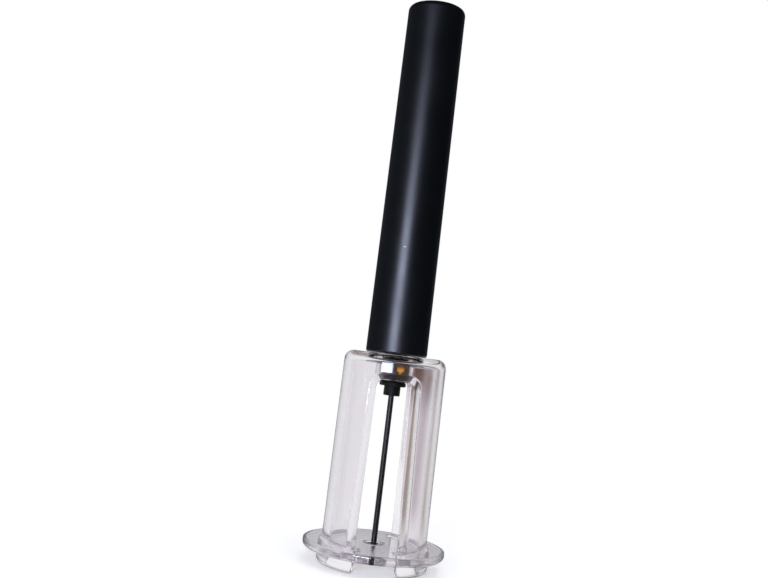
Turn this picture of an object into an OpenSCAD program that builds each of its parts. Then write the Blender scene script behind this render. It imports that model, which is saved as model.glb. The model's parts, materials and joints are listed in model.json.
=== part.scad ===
// Hand air pump that opens wine bottles: a clear bottle holder with a hollow needle, and a sleeve
// handle that slides on a fixed rod and piston. The object stands on its two feet at z = 0, with
// the needle, rod and handle on the z axis. All sizes are in millimetres.

/* [Bottle holder] */
// Height of the holder from its feet to its top face
holder_h = 74.4; // [66:0.2:90]
// Outside diameter under the top shoulder
holder_top_d = 36.3; // [35:0.1:38]
// Outside diameter at the feet, larger by the moulding draft
holder_foot_d = 37; // [36.2:0.1:39]
// Thickness of the two wings
wing_t = 2.5; // [2:0.1:3]
// Thickness of the top plate
top_t = 2.5; // [2.2:0.1:4]
// Radius of the outer top shoulder
shoulder_r = 3.3; // [2:0.1:4.5]
// Radius inside, between a wing and the top plate
inner_r = 1.2; // [0.6:0.1:2]
// Width of each window at the inner wall, at its top
window_top_w = 12.7; // [10:0.1:14]
// Width of each window at the inner wall, at the feet
window_foot_w = 14; // [11:0.1:15]
// Depth of the window's top edge below the holder's top face
window_drop = 8.8; // [6.5:0.1:14]
// Radius of the window's inner top corners
window_r = 3; // [1:0.1:4.5]
// How far the window's edge flares out across the wall, on each side
flare = 2.3; // [1:0.1:2.6]
// Straight part of the window's edge, before the flare starts
flare_land = 0.5; // [0.3:0.05:1]
// Height of the lip under each wing, up to the face that carries the ejector plate
lip_h = 5; // [3:0.1:8]
// How far the lip stands out of the wing
lip_out = 1.1; // [0.6:0.05:1.5]
// Radius of the lip's outer lower edge
lip_r = 1.5; // [0.5:0.1:1.6]
// Radius of the feet's corners, seen through the window
foot_corner_r = 2; // [0.5:0.1:3]

/* [Needle socket] */
// Outside diameter of the clear socket that hangs under the top plate
socket_d = 13.4; // [12.6:0.1:15]
// Diameter of the socket's bore
socket_bore = 11.2; // [10.4:0.1:12]
// Thickness of the socket's floor
floor_t = 1; // [0.8:0.1:2]
// Thickness of the rubber washer on the floor
washer_t = 1.2; // [0.8:0.1:2]
// Height of the valve body's wide part
valve_h = 5; // [4.6:0.1:7]
// Diameter of the valve body's neck, which passes through the floor
valve_neck_d = 6.4; // [5.8:0.1:7.4]
// Length of the valve body's spigot inside the rod
spigot_h = 5; // [4.4:0.1:8]
// Diameter of the ball chamber
chamber_d = 3.4; // [3.2:0.1:3.8]
// Diameter of the air hole that the ball closes
seat_d = 1.6; // [1:0.1:2]
// Diameter of the valve ball
ball_d = 3; // [2.6:0.1:3]
// Wire diameter of the valve spring
spring_wire = 0.35; // [0.25:0.05:0.4]
// Number of turns of the valve spring
spring_turns = 4; // [3:1:4]
// Diameter of the rod nut's flange
nut_flange_d = 13.3; // [12.6:0.1:15]
// Thickness of the rod nut's flange
nut_flange_t = 1.3; // [0.8:0.1:1.6]
// Length of the rod nut's threaded sleeve
nut_sleeve_h = 0.8; // [0.6:0.1:3]
// Width across the flats of the brass plug in the valve body's side
plug_af = 2.7; // [2.2:0.1:3]
// Direction of the brass plug, turned from the front window
plug_turn = 18; // [-60:1:60]

/* [Needle] */
// Outside diameter of the needle
needle_d = 2; // [1.6:0.1:2.4]
// Bore of the needle
needle_bore = 1.2; // [0.8:0.1:1.3]
// Height of the needle's tip above the feet
needle_tip_z = 2; // [0.5:0.1:10]
// Length of the needle's point
point_h = 3.4; // [2:0.1:6]
// Diameter of the air hole in the needle's side
side_hole_d = 0.9; // [0.5:0.1:1]
// Diameter of the hub's flange
hub_flange_d = 9.4; // [8.8:0.1:10.5]
// Thickness of the hub's flange
hub_flange_t = 1.4; // [1:0.1:2.5]
// Diameter of the hub's collar round the needle
hub_collar_d = 5.9; // [5:0.1:6.2]
// Length of the hub's collar
hub_collar_h = 3.4; // [2:0.1:6]
// Diameter of the hub's threaded shank
hub_shank_d = 4.2; // [4:0.1:4.4]
// Thickness of the gasket between the hub and the socket
gasket_t = 0.4; // [0.3:0.1:0.8]

/* [Ejector plate] */
// Outside diameter of the plate that pushes the cork off the needle
plate_d = 50; // [46:0.5:60]
// Thickness of the plate
plate_t = 3; // [2:0.1:4.5]
// Diameter of the plate's middle hole
plate_hole_d = 6.6; // [6.4:0.1:8]
// Width of the two webs that cross the windows
web_w = 11.9; // [9:0.1:12.2]
// Chamfer of the plate's lower rim
rim_chamfer = 0.9; // [0.2:0.1:1.2]
// Radius of the plate's upper rim
rim_r = 0.5; // [0.2:0.1:1]
// Radial play between the plate and the wings
plate_play = 0.35; // [0.3:0.05:0.6]

/* [Handle] */
// Length of the handle
handle_h = 126.6; // [100:0.2:160]
// Outside diameter at the handle's mouth
handle_mouth_d = 21.9; // [21.2:0.1:26]
// Outside diameter at the handle's top
handle_top_d = 20.7; // [20.4:0.1:22]
// Wall of the handle at its top
handle_wall = 1.65; // [1.2:0.05:2]
// Thickness of the closed top
handle_cap_t = 2.5; // [2.2:0.1:5]
// Radius of the top edge
handle_edge_r = 2; // [0.8:0.1:2.2]
// Radius of the mouth's edge
mouth_edge_r = 0.9; // [0.2:0.1:1.2]

/* [Pump] */
// Outside diameter of the pump rod
rod_d = 8; // [7.6:0.1:8.4]
// Bore of the pump rod
rod_bore = 5.6; // [5.4:0.1:6]
// Wall of the pump barrel
barrel_wall = 0.8; // [0.6:0.05:1]
// Length of the piston
piston_h = 10; // [9:0.1:14]
// Space left above the piston with the handle down
head_gap = 1.5; // [0.5:0.1:6]
// Thickness of the piston's ring, a round rubber section
ring_t = 2.6; // [2.2:0.1:2.8]
// Height of the piston's land under the ring
lower_land = 3.2; // [2.5:0.1:4]
// Height of the plug that closes the barrel's top
barrel_cap_h = 5.9; // [5:0.1:10]
// Length of the threaded cap in the handle's mouth
mouth_cap_h = 9; // [7:0.1:14]
// Outside diameter of the guide bush
bush_d = 12; // [11:0.1:12.6]
// Thickness of the guide bush's flange
bush_flange_t = 1.6; // [1:0.1:3]
// Thickness of the rubber bumper that ends the stroke
bumper_t = 3; // [1.5:0.1:5]

/* [Fits] */
// Radial gap between pieces that are screwed or pressed together
fit = 0.05; // [0.03:0.01:0.1]
// Radial gap between the rod and the guide bush
running_fit = 0.08; // [0.04:0.01:0.1]
// Radial gap between the piston and the barrel
piston_gap = 0.2; // [0.15:0.01:0.3]
// Radial gap between the piston's ring and the barrel
ring_gap = 0.03; // [0.02:0.01:0.05]
// Gap that keeps faces apart where nothing presses them together
face_gap = 0.1; // [0.05:0.01:0.2]

/* [Hidden] */
$fn = 96;
// How far a cut runs past the face that it goes through
overrun = 1;
// The smallest chamfer or edge break
edge = 0.3;
// The least gap between a ball or ring and the seat that it rests on
seat_gap = 0.05;

// Heights in the needle socket, from the top face down
nut_recess = nut_flange_t + face_gap;
nut_z = holder_h - nut_recess;
valve_top_z = nut_z - nut_sleeve_h;
valve_z = valve_top_z - valve_h;
floor_z = valve_z - washer_t;
socket_z = floor_z - floor_t;
valve_neck_gap = 0.1;
floor_hole_d = valve_neck_d + 2 * valve_neck_gap;
valve_d = socket_bore - 2 * face_gap;

// The hub hangs under the socket, and its shank is screwed into the valve body
hub_top_z = socket_z - gasket_t;
hub_flange_z = hub_top_z - hub_flange_t;
hub_z = hub_flange_z - hub_collar_h;
thread_reach = 1.2;
shank_h = floor_t + gasket_t + washer_t + thread_reach;
shank_top_z = hub_top_z + shank_h;
chamber_z = shank_top_z;
seat_wall = 2;
chamber_top_z = valve_top_z + spigot_h - seat_wall;
ball_z = chamber_top_z - sqrt(pow(ball_d / 2, 2) - pow(seat_d / 2, 2)) - seat_gap;
spring_d = chamber_d - spring_wire - 2 * face_gap;
spring_z = shank_top_z + spring_wire / 2 + fit;
spring_reach = (ball_d + spring_wire) / 2 + seat_gap;
spring_top_z = ball_z - sqrt(pow(spring_reach, 2) - pow(spring_d / 2, 2));
air_d = needle_bore;
needle_top_z = hub_top_z - edge;

// The brass plug closes a cross drilling of the ball chamber
plug_z = valve_z + valve_h / 2;
plug_head_h = 0.7;
plug_seat_d = plug_af / cos(30) + 4 * fit;
plug_shank_d = 1.7;
plug_seat_depth = plug_head_h + face_gap;

// The wings' radii at the feet and under the shoulder
foot_r = holder_foot_d / 2;
top_r = holder_top_d / 2;
shoulder_z = holder_h - shoulder_r;
inner_foot_r = foot_r - wing_t;
inner_top_r = top_r - wing_t;
inner_top_z = holder_h - top_t;
lip_outer_r = foot_r + lip_out;
lip_inner_r = 0.8;

// The windows
window_z = holder_h - window_drop;
window_out_w = window_top_w + 2 * flare;
roof_flare_share = 1.2;
corner_flare_share = 0.5;
foot_flare_share = 2.6;
window_out_z = window_z + roof_flare_share * flare;
window_out_r = window_r + corner_flare_share * flare;
flare_in_y = sqrt(pow(inner_top_r, 2) - pow(window_top_w / 2, 2)) + flare_land;
flare_out_y = sqrt(pow(top_r, 2) - pow(window_out_w / 2, 2));
flare_slope = flare / (flare_out_y - flare_in_y);
window_start_y = (inner_top_r + socket_d / 2) / 2;
window_end_y = lip_outer_r + overrun;

// The ejector plate rests on the lips and rises to just under the hub's flange
plate_z = lip_h;
disc_r = inner_top_r - plate_play;
ring_in_r = foot_r + plate_play;
ejector_stop = 0.5;
ejector_travel = hub_flange_z - ejector_stop - plate_z - plate_t;

// The handle stands on the holder's top face
handle_z = holder_h;
handle_top_z = handle_z + handle_h;
cavity_top_z = handle_top_z - handle_cap_t;
shell_bore = min(handle_top_d, handle_mouth_d) - 2 * handle_wall;
barrel_d = shell_bore - 4 * fit;
barrel_bore = barrel_d - 2 * barrel_wall;
mouth_step = 0.6;
mouth_thread_d = shell_bore + 2 * mouth_step;
mouth_cap_z = handle_z + 2 * face_gap;
mouth_cap_top_z = mouth_cap_z + mouth_cap_h;
barrel_z = mouth_cap_top_z;
barrel_top_z = cavity_top_z - face_gap;
barrel_cap_z = barrel_top_z - barrel_cap_h;
cap_seal_t = 1.6;
cap_groove_h = cap_seal_t * 1.5;
cap_groove_d = barrel_bore - 2 * cap_seal_t - 2 * face_gap;

// The piston stands on the rod, whose end is seated under the ring's groove
piston_z = barrel_cap_z - head_gap - piston_h;
piston_top_z = piston_z + piston_h;
piston_d = barrel_bore - 2 * piston_gap;
ring_d = barrel_bore - 2 * ring_gap;
ring_play = 0.6;
groove_z = piston_z + lower_land;
groove_h = ring_t + ring_play;
groove_d = ring_d - 2 * ring_t - 2 * piston_gap;
rod_seat_h = lower_land - edge;
rod_z = valve_top_z;
rod_top_z = piston_z + rod_seat_h;
screw_head_d = rod_d;
screw_head_h = 1.6;
screw_seat_z = piston_top_z - screw_head_h - 2 * face_gap;
screw_reach = 4.5;

// The guide bush, its bumper and the stroke that they leave
bush_lip_h = 1;
bush_z = mouth_cap_z + bush_lip_h;
bush_flange_d = barrel_bore - 4 * fit;
bumper_z = mouth_cap_top_z + bush_flange_t;
bumper_gap = 0.5;
bumper_d = barrel_bore - 2 * bumper_gap;
rod_clear = 0.5;
rod_clear_d = rod_d + 2 * rod_clear;
handle_stroke = piston_z - bumper_z - bumper_t - face_gap;

// Colours
clear_plastic = [0.86, 0.85, 0.89, 0.4];
black_plastic = [0.08, 0.09, 0.1];
black_rubber = [0.05, 0.05, 0.05];
aluminium = [0.75, 0.76, 0.78];
nickel = [0.8, 0.8, 0.8];
brass = [0.79, 0.62, 0.25];
white_plastic = [0.92, 0.92, 0.9];

echo(handle_stroke = handle_stroke, ejector_travel = ejector_travel);
echo(hub_flange_z = hub_flange_z, hub_z = hub_z, socket_z = socket_z, window_z = window_z);
echo(ball_z = ball_z, spring_z = spring_z, spring_top_z = spring_top_z);

// A tube standing at height z
module tube(d, bore, z, h) {
    translate([0, 0, z])
        difference() {
            cylinder(d = d, h = h);
            translate([0, 0, -overrun])
                cylinder(d = bore, h = h + 2 * overrun);
        }
}

// A cylinder standing at height z
module rod(d, z, h) {
    translate([0, 0, z])
        cylinder(d = d, h = h);
}

// What a round edge of radius r takes off a corner at the origin, with the solid towards -x, -y
module round_off(r) {
    translate([-r, -r])
        difference() {
            square(r + overrun);
            circle(r);
        }
}

// A turned disc with a round upper and a round lower edge
module turned_disc(d, h, upper_r, lower_r) {
    rotate_extrude()
        difference() {
            square([d / 2, h]);
            translate([d / 2, h])
                round_off(upper_r);
            translate([d / 2, 0])
                mirror([0, 1])
                    round_off(lower_r);
        }
}

// A turned disc with chamfered edges
module chamfered_disc(d, h, upper, lower) {
    rotate_extrude()
        polygon([
            [0, 0], [d / 2 - lower, 0], [d / 2, lower],
            [d / 2, h - upper], [d / 2 - upper, h], [0, h]
        ]);
}

// Half the section of a cup, upside down: straight at its mouth, then drafted, then a round
// shoulder of radius r
module cup_section(low_r, high_r, z0, straight_h, top_z, r) {
    polygon([
        [0, z0], [low_r, z0], [low_r, z0 + straight_h], [high_r, top_z - r], [0, top_z - r]
    ]);
    translate([0, top_z - r])
        square([high_r - r, r]);
    translate([high_r - r, top_z - r])
        circle(r);
}

module wing_section() {
    difference() {
        union() {
            cup_section(foot_r, top_r, 0, lip_h, holder_h, shoulder_r);
            square([lip_outer_r, lip_h]);
        }
        cup_section(inner_foot_r, inner_top_r, 0, lip_h, inner_top_z, inner_r);
        translate([lip_outer_r, 0])
            mirror([0, 1])
                round_off(lip_r);
        translate([inner_foot_r, 0])
            rotate(180)
                round_off(lip_inner_r);
    }
}

// The window's outline: drafted sides and round upper corners, with y up
module window_outline(low_w, high_w, top, r) {
    polygon([
        [-low_w / 2, -overrun], [low_w / 2, -overrun],
        [high_w / 2, top - r], [-high_w / 2, top - r]
    ]);
    translate([-high_w / 2 + r, top - r - overrun])
        square([high_w - 2 * r, r + overrun]);
    for (side = [-1, 1])
        translate([side * (high_w / 2 - r), top - r])
            circle(r);
}

// An outline in x and z, pushed through the front wall
module through_wall(start_y = window_start_y) {
    translate([0, -start_y, 0])
        rotate([90, 0, 0])
            linear_extrude(window_end_y - start_y)
                children();
}

// The flare: side planes, a conical roof and round outer corners
module window_flare() {
    wide = window_out_w / 2 + flare_slope * (window_end_y - flare_out_y);
    roof_slope = (window_out_z - window_z) / (wing_t - flare_land);
    roof_r = inner_top_r + flare_land;
    intersection() {
        translate([0, 0, lip_h])
            linear_extrude(holder_h)
                polygon([
                    [-window_top_w / 2, -flare_in_y], [window_top_w / 2, -flare_in_y],
                    [wide, -window_end_y], [-wide, -window_end_y]
                ]);
        rotate_extrude()
            polygon([
                [0, 0], [window_end_y, 0],
                [window_end_y, window_z + roof_slope * (window_end_y - roof_r)],
                [roof_r, window_z], [0, window_z]
            ]);
        through_wall()
            window_outline(
                window_foot_w + foot_flare_share * flare, window_out_w, window_out_z, window_out_r
            );
    }
}

module window() {
    through_wall()
        window_outline(window_foot_w, window_top_w, window_z, window_r);
    window_flare();
    through_wall()
        for (side = [0, 1])
            mirror([side, 0])
                translate([window_foot_w / 2, 0])
                    rotate(180)
                        round_off(foot_corner_r);
}

module bottle_holder() {
    color(clear_plastic)
        difference() {
            union() {
                difference() {
                    rotate_extrude()
                        intersection() {
                            wing_section();
                            square([lip_outer_r, holder_h]);
                        }
                    for (turn = [0, 180])
                        rotate(turn)
                            window();
                }
                rod(socket_d, socket_z, holder_h - top_t / 2 - socket_z);
            }
            rod(socket_bore, floor_z, holder_h);
            rod(nut_flange_d + 2 * face_gap, nut_z, nut_recess + overrun);
            rod(floor_hole_d, socket_z - overrun, floor_t + 2 * overrun);
        }
}

module rod_nut() {
    pin_hole_d = 1.2;
    pin_circle_r = (nut_flange_d + rod_d) / 4;
    color(black_plastic)
        difference() {
            union() {
                translate([0, 0, nut_z])
                    chamfered_disc(nut_flange_d, nut_flange_t, edge, 0);
                rod(socket_bore - 2 * fit, valve_top_z, nut_sleeve_h + nut_flange_t / 2);
            }
            rod(rod_d + 2 * fit, valve_top_z - overrun, nut_sleeve_h + nut_recess + overrun);
            for (turn = [0 : 90 : 270])
                rotate(turn)
                    translate([pin_circle_r, 0, nut_z + nut_flange_t / 2])
                        cylinder(d = pin_hole_d, h = nut_flange_t);
        }
}

module valve_body() {
    color(nickel)
        difference() {
            union() {
                translate([0, 0, valve_z])
                    chamfered_disc(valve_d, valve_h, edge, edge);
                rod(valve_neck_d, socket_z + fit, valve_z - socket_z);
                rod(rod_bore - 2 * fit, valve_z, valve_h + spigot_h);
            }
            rod(hub_shank_d + 2 * fit, socket_z - overrun, shank_top_z - socket_z + overrun);
            rod(chamber_d, chamber_z - fit, chamber_top_z - chamber_z + fit);
            rod(seat_d, chamber_top_z - overrun, spigot_h + 2 * overrun);
            rotate(plug_turn)
                translate([0, 0, plug_z])
                    rotate([90, 0, 0]) {
                        cylinder(d = plug_shank_d + 2 * fit, h = valve_d);
                        translate([0, 0, valve_d / 2 - plug_seat_depth])
                            cylinder(d = plug_seat_d, h = valve_d);
                    }
        }
}

module valve_plug() {
    head_start = valve_d / 2 - plug_seat_depth;
    shank_start = chamber_d / 2 + edge;
    color(brass)
        rotate(plug_turn)
            translate([0, 0, plug_z])
                rotate([90, 0, 0]) {
                    translate([0, 0, shank_start])
                        cylinder(d = plug_shank_d, h = head_start - shank_start + plug_head_h / 2);
                    translate([0, 0, head_start])
                        rotate(30)
                            cylinder(d = plug_af / cos(30), h = plug_head_h, $fn = 6);
                }
}

module socket_washer() {
    color(black_rubber)
        tube(socket_bore - 4 * fit, floor_hole_d, floor_z, washer_t);
}

module valve_ball() {
    color(nickel)
        translate([0, 0, ball_z])
            sphere(d = ball_d);
}

// Points of a coil's rings: the wire's centre line climbs steadily from z0 to z1
function coil_ring(angle, z, coil_r, wire_r, sides) = [
    for (i = [0 : sides - 1])
        let (a = 360 * i / sides, r = coil_r + wire_r * cos(a))
            [r * cos(angle), r * sin(angle), z + wire_r * sin(a)]
];

module coil(z0, z1, d, wire, turns) {
    rings_a_turn = 12;
    sides = 6;
    steps = turns * rings_a_turn;
    points = [
        for (s = [0 : steps])
            each coil_ring(360 * s / rings_a_turn, z0 + (z1 - z0) * s / steps, d / 2, wire / 2, sides)
    ];
    walls = [
        for (s = [0 : steps - 1], i = [0 : sides - 1])
            let (a = s * sides + i, b = s * sides + (i + 1) % sides)
                each [[a, a + sides, b], [b, a + sides, b + sides]]
    ];
    ends = [
        for (i = [1 : sides - 2])
            each [[0, i, i + 1], [steps * sides, steps * sides + i + 1, steps * sides + i]]
    ];
    polyhedron(points = points, faces = concat(walls, ends));
    echo(least_gap_of_the_coil = (z1 - z0) / turns - wire);
}

module valve_spring() {
    color(nickel)
        coil(spring_z, spring_top_z, spring_d, spring_wire, spring_turns);
}

module hub_gasket() {
    color(black_rubber)
        tube(hub_flange_d - 2 * edge, hub_shank_d + 2 * face_gap, hub_top_z, gasket_t);
}

module needle_hub() {
    color(black_plastic)
        difference() {
            union() {
                translate([0, 0, hub_flange_z])
                    turned_disc(hub_flange_d, hub_flange_t, edge / 2, edge);
                translate([0, 0, hub_z])
                    turned_disc(hub_collar_d, hub_collar_h + edge, 0, edge);
                rod(hub_shank_d, hub_flange_z, hub_flange_t + shank_h);
            }
            rod(needle_d + 2 * fit, hub_z - overrun, needle_top_z - hub_z + overrun);
            rod(air_d, hub_z, shank_top_z - hub_z + overrun);
        }
}

module needle() {
    point_end_d = 0.3;
    side_hole_z = needle_tip_z + point_h + 2 * side_hole_d;
    bore_z = side_hole_z - side_hole_d;
    color(black_plastic)
        difference() {
            union() {
                translate([0, 0, needle_tip_z])
                    cylinder(d1 = point_end_d, d2 = needle_d, h = point_h);
                rod(needle_d, needle_tip_z + point_h, needle_top_z - fit - needle_tip_z - point_h);
            }
            rod(needle_bore, bore_z, needle_top_z - bore_z + overrun);
            translate([0, 0, side_hole_z])
                rotate([90, 0, 0])
                    cylinder(d = side_hole_d, h = needle_d);
        }
}

module pump_rod() {
    color(aluminium)
        tube(rod_d, rod_bore, rod_z, rod_top_z - rod_z);
}

module piston_head() {
    notch_w = 2.2;
    color(black_plastic)
        difference() {
            translate([0, 0, piston_z])
                chamfered_disc(piston_d, piston_h, edge, edge);
            rotate_extrude()
                translate([groove_d / 2, groove_z])
                    square([piston_d / 2, groove_h]);
            rod(rod_d + 2 * fit, piston_z - overrun, rod_seat_h + overrun);
            rod(rod_bore, piston_z, piston_h + overrun);
            rod(screw_head_d + 2 * face_gap, screw_seat_z, piston_h);
            for (turn = [0 : 90 : 270])
                rotate(turn)
                    translate([groove_d / 2, -notch_w / 2, groove_z + groove_h / 2])
                        cube([piston_d / 2, notch_w, piston_h]);
        }
}

module piston_screw() {
    slot_w = 1.2;
    color(nickel)
        difference() {
            union() {
                translate([0, 0, screw_seat_z])
                    chamfered_disc(screw_head_d, screw_head_h, edge, 0);
                rod(rod_bore - 2 * fit, rod_top_z - screw_reach, screw_seat_z - rod_top_z + screw_reach + edge);
            }
            rod(seat_d, rod_top_z - screw_reach - overrun, piston_h + screw_reach);
            translate([-screw_head_d, -slot_w / 2, screw_seat_z + screw_head_h / 2])
                cube([2 * screw_head_d, slot_w, screw_head_h]);
        }
}

module piston_ring() {
    color(black_rubber)
        translate([0, 0, groove_z + ring_t / 2 + seat_gap])
            rotate_extrude()
                translate([(ring_d - ring_t) / 2, 0])
                    circle(d = ring_t);
}

module handle_shell() {
    color(black_plastic)
        difference() {
            rotate_extrude()
                intersection() {
                    difference() {
                        cup_section(
                            handle_mouth_d / 2, handle_top_d / 2, handle_z, mouth_edge_r,
                            handle_top_z, handle_edge_r
                        );
                        translate([handle_mouth_d / 2, handle_z])
                            mirror([0, 1])
                                round_off(mouth_edge_r);
                    }
                    translate([0, handle_z])
                        square([handle_mouth_d, handle_h]);
                }
            rod(shell_bore, handle_z - overrun, cavity_top_z - handle_z + overrun);
            rod(mouth_thread_d, handle_z - overrun, mouth_cap_top_z - handle_z + overrun);
        }
}

module pump_barrel() {
    color(aluminium)
        tube(barrel_d, barrel_bore, barrel_z, barrel_top_z - barrel_z);
}

module barrel_cap() {
    color(black_plastic)
        translate([0, 0, barrel_cap_z])
            difference() {
                chamfered_disc(barrel_bore - 2 * fit, barrel_cap_h, edge, edge);
                translate([0, 0, (barrel_cap_h - cap_groove_h) / 2])
                    difference() {
                        cylinder(d = barrel_d, h = cap_groove_h);
                        cylinder(d = cap_groove_d, h = cap_groove_h);
                    }
            }
}

module cap_seal() {
    color(black_rubber)
        translate([0, 0, barrel_cap_z + barrel_cap_h / 2])
            rotate_extrude()
                translate([barrel_bore / 2 - fit - cap_seal_t / 2, 0])
                    circle(d = cap_seal_t);
}

module mouth_cap() {
    cap_d = mouth_thread_d - 2 * fit;
    pin_hole_share = 0.55;
    pin_hole_d = pin_hole_share * (cap_d - bush_d) / 2;
    pin_hole_h = 3;
    color(black_plastic)
        difference() {
            translate([0, 0, mouth_cap_z])
                chamfered_disc(cap_d, mouth_cap_h, edge, edge);
            rod(bush_d + 2 * fit, bush_z, mouth_cap_h);
            rod(rod_clear_d, mouth_cap_z - overrun, mouth_cap_h);
            for (turn = [0, 180])
                rotate(turn)
                    translate([(cap_d + bush_d) / 4, 0, mouth_cap_z - overrun])
                        cylinder(d = pin_hole_d, h = pin_hole_h + overrun);
        }
}

module guide_bush() {
    slot_w = 1.2;
    slot_depth = 0.6;
    bore = rod_d + 2 * running_fit;
    color(white_plastic)
        difference() {
            union() {
                rod(bush_d, bush_z, bumper_z - bush_z);
                translate([0, 0, mouth_cap_top_z])
                    chamfered_disc(bush_flange_d, bush_flange_t, edge, 0);
            }
            rod(bore, bush_z - overrun, bumper_z - bush_z + 2 * overrun);
            for (turn = [60 : 120 : 300])
                rotate(turn)
                    translate([0, -slot_w / 2, bush_z - overrun])
                        cube([bore / 2 + slot_depth, slot_w, bumper_z - bush_z + 2 * overrun]);
        }
}

module stop_bumper() {
    bumper_r = 0.8;
    color(black_rubber)
        translate([0, 0, bumper_z])
            difference() {
                turned_disc(bumper_d, bumper_t, bumper_r, edge);
                translate([0, 0, -overrun])
                    cylinder(d = rod_clear_d, h = bumper_t + 2 * overrun);
            }
}

module ejector_plate() {
    web_l = 2 * ring_in_r + overrun;
    color(clear_plastic)
        translate([0, 0, plate_z])
            difference() {
                rotate_extrude()
                    difference() {
                        square([plate_d / 2, plate_t]);
                        translate([plate_d / 2, plate_t])
                            round_off(rim_r);
                        translate([plate_d / 2, 0])
                            polygon([
                                [overrun, -overrun], [overrun, rim_chamfer + overrun],
                                [0, rim_chamfer], [-rim_chamfer, 0], [-rim_chamfer, -overrun]
                            ]);
                    }
                difference() {
                    translate([0, 0, -overrun])
                        cylinder(r = ring_in_r, h = plate_t + 2 * overrun);
                    translate([0, 0, -2 * overrun])
                        cylinder(r = disc_r, h = plate_t + 4 * overrun);
                    translate([-web_w / 2, -web_l / 2, -2 * overrun])
                        cube([web_w, web_l, plate_t + 4 * overrun]);
                }
                translate([0, 0, -overrun])
                    cylinder(d = plate_hole_d, h = plate_t + 2 * overrun);
            }
}

bottle_holder();
rod_nut();
valve_body();
valve_plug();
socket_washer();
valve_ball();
valve_spring();
hub_gasket();
needle_hub();
needle();
pump_rod();
piston_head();
piston_screw();
piston_ring();
handle_shell();
pump_barrel();
barrel_cap();
cap_seal();
mouth_cap();
guide_bush();
stop_bumper();
ejector_plate();
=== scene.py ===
# %% [markdown]
# # A hand air pump for wine bottles
# The tool stands on the two feet of its clear bottle holder. A black sleeve handle slides on a rod
# above it, and a black needle hangs below. This notebook dresses the CAD model of the tool with
# finishes, makes its clear mouldings again with soft edges, winds the spring of its valve, and
# sets up a small photo studio round it.

# %% The CAD model
import json
import math
import bpy
from mathutils import Matrix, Vector


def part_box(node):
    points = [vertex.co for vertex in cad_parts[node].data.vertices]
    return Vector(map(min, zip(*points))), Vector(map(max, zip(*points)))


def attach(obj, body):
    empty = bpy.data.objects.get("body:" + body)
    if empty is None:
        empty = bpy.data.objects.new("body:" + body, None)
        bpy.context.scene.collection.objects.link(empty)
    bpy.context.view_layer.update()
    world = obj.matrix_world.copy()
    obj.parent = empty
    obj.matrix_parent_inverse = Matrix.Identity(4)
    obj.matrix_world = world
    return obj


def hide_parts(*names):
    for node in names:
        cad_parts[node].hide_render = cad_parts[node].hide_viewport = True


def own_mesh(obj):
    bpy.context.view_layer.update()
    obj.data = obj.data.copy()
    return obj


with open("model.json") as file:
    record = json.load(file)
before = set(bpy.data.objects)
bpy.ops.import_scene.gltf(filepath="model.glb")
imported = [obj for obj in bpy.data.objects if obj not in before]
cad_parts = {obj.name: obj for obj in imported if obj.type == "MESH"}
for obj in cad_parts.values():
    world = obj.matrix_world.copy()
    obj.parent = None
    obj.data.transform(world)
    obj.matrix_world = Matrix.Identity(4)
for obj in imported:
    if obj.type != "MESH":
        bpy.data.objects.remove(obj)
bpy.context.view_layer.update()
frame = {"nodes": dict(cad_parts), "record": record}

nodes = frame["nodes"]
mm = 0.001

# %% [markdown]
# ## The camera
# The photograph was measured and a plain pinhole camera was fitted to it. It stands 352 mm from
# the tool's axis, level with the top of the clear holder and a little to the left of its front
# window. It looks up by a few degrees and is rolled, so the tool leans to the right.

# %% Camera
view_azimuth = math.radians(-4.0)
view_distance = 352 * mm
view_height = 74.4 * mm
view_yaw = math.radians(1.16)
view_pitch = math.radians(3.7)
view_roll = math.radians(6.9)
sensor_mm = 36
lens_mm = 46.2
nearest = 5 * mm

eye = Vector((math.sin(view_azimuth), -math.cos(view_azimuth), 0)) * view_distance
eye.z = view_height
to_axis = Vector((-math.sin(view_azimuth), math.cos(view_azimuth), 0))
level = Matrix.Rotation(view_yaw, 3, "Z") @ to_axis
forward = level * math.cos(view_pitch) + Vector((0, 0, math.sin(view_pitch)))
right = forward.cross(Vector((0, 0, 1))).normalized()
up = right.cross(forward)
rolled_right = right * math.cos(view_roll) + up * math.sin(view_roll)
rolled_up = up * math.cos(view_roll) - right * math.sin(view_roll)

bpy.ops.object.select_all(action="DESELECT")
bpy.ops.object.camera_add(location=eye)
camera = bpy.context.object
camera.name = "photo_camera"
turn = Matrix((rolled_right, rolled_up, -forward)).transposed()
camera.rotation_euler = turn.to_euler()
camera.data.sensor_width = sensor_mm
camera.data.lens = lens_mm
camera.data.clip_start = nearest
bpy.context.scene.camera = camera
print("camera at", tuple(round(v / mm, 1) for v in eye), "mm")

# %% [markdown]
# ## Helpers for the finishes
# Colours are written as sRGB hex, as a paint chart gives them, and Blender wants linear light. One
# function adds a shader node with its settings and links. Patterns read Object coordinates, which
# are metres on the tool, so a pattern's scale is 1 / its real size.

# %% Colour and node helpers
def linear(hex_code):
    """The linear colour of an sRGB hex code."""
    parts = [int(hex_code[i:i + 2], 16) / 255 for i in (1, 3, 5)]
    return [c / 12.92 if c <= 0.04045 else ((c + 0.055) / 1.055) ** 2.4 for c in parts] + [1]


def add(tree, kind, settings=(), links=()):
    """Adds a node, sets its inputs or properties, and links sources to its inputs."""
    made = tree.nodes.new(kind)
    for name, value in dict(settings).items():
        if isinstance(name, int) or name in made.inputs:
            made.inputs[name].default_value = value
        else:
            setattr(made, name, value)
    for name, source in dict(links).items():
        tree.links.new(source, made.inputs[name])
    return made


def new_material(name):
    """A material with an empty tree, its tree and its Object coordinates."""
    made = bpy.data.materials.new(name)
    made.use_nodes = True
    tree = made.node_tree
    tree.nodes.clear()
    spot = add(tree, "ShaderNodeTexCoord").outputs["Object"]
    return made, tree, spot


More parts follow.
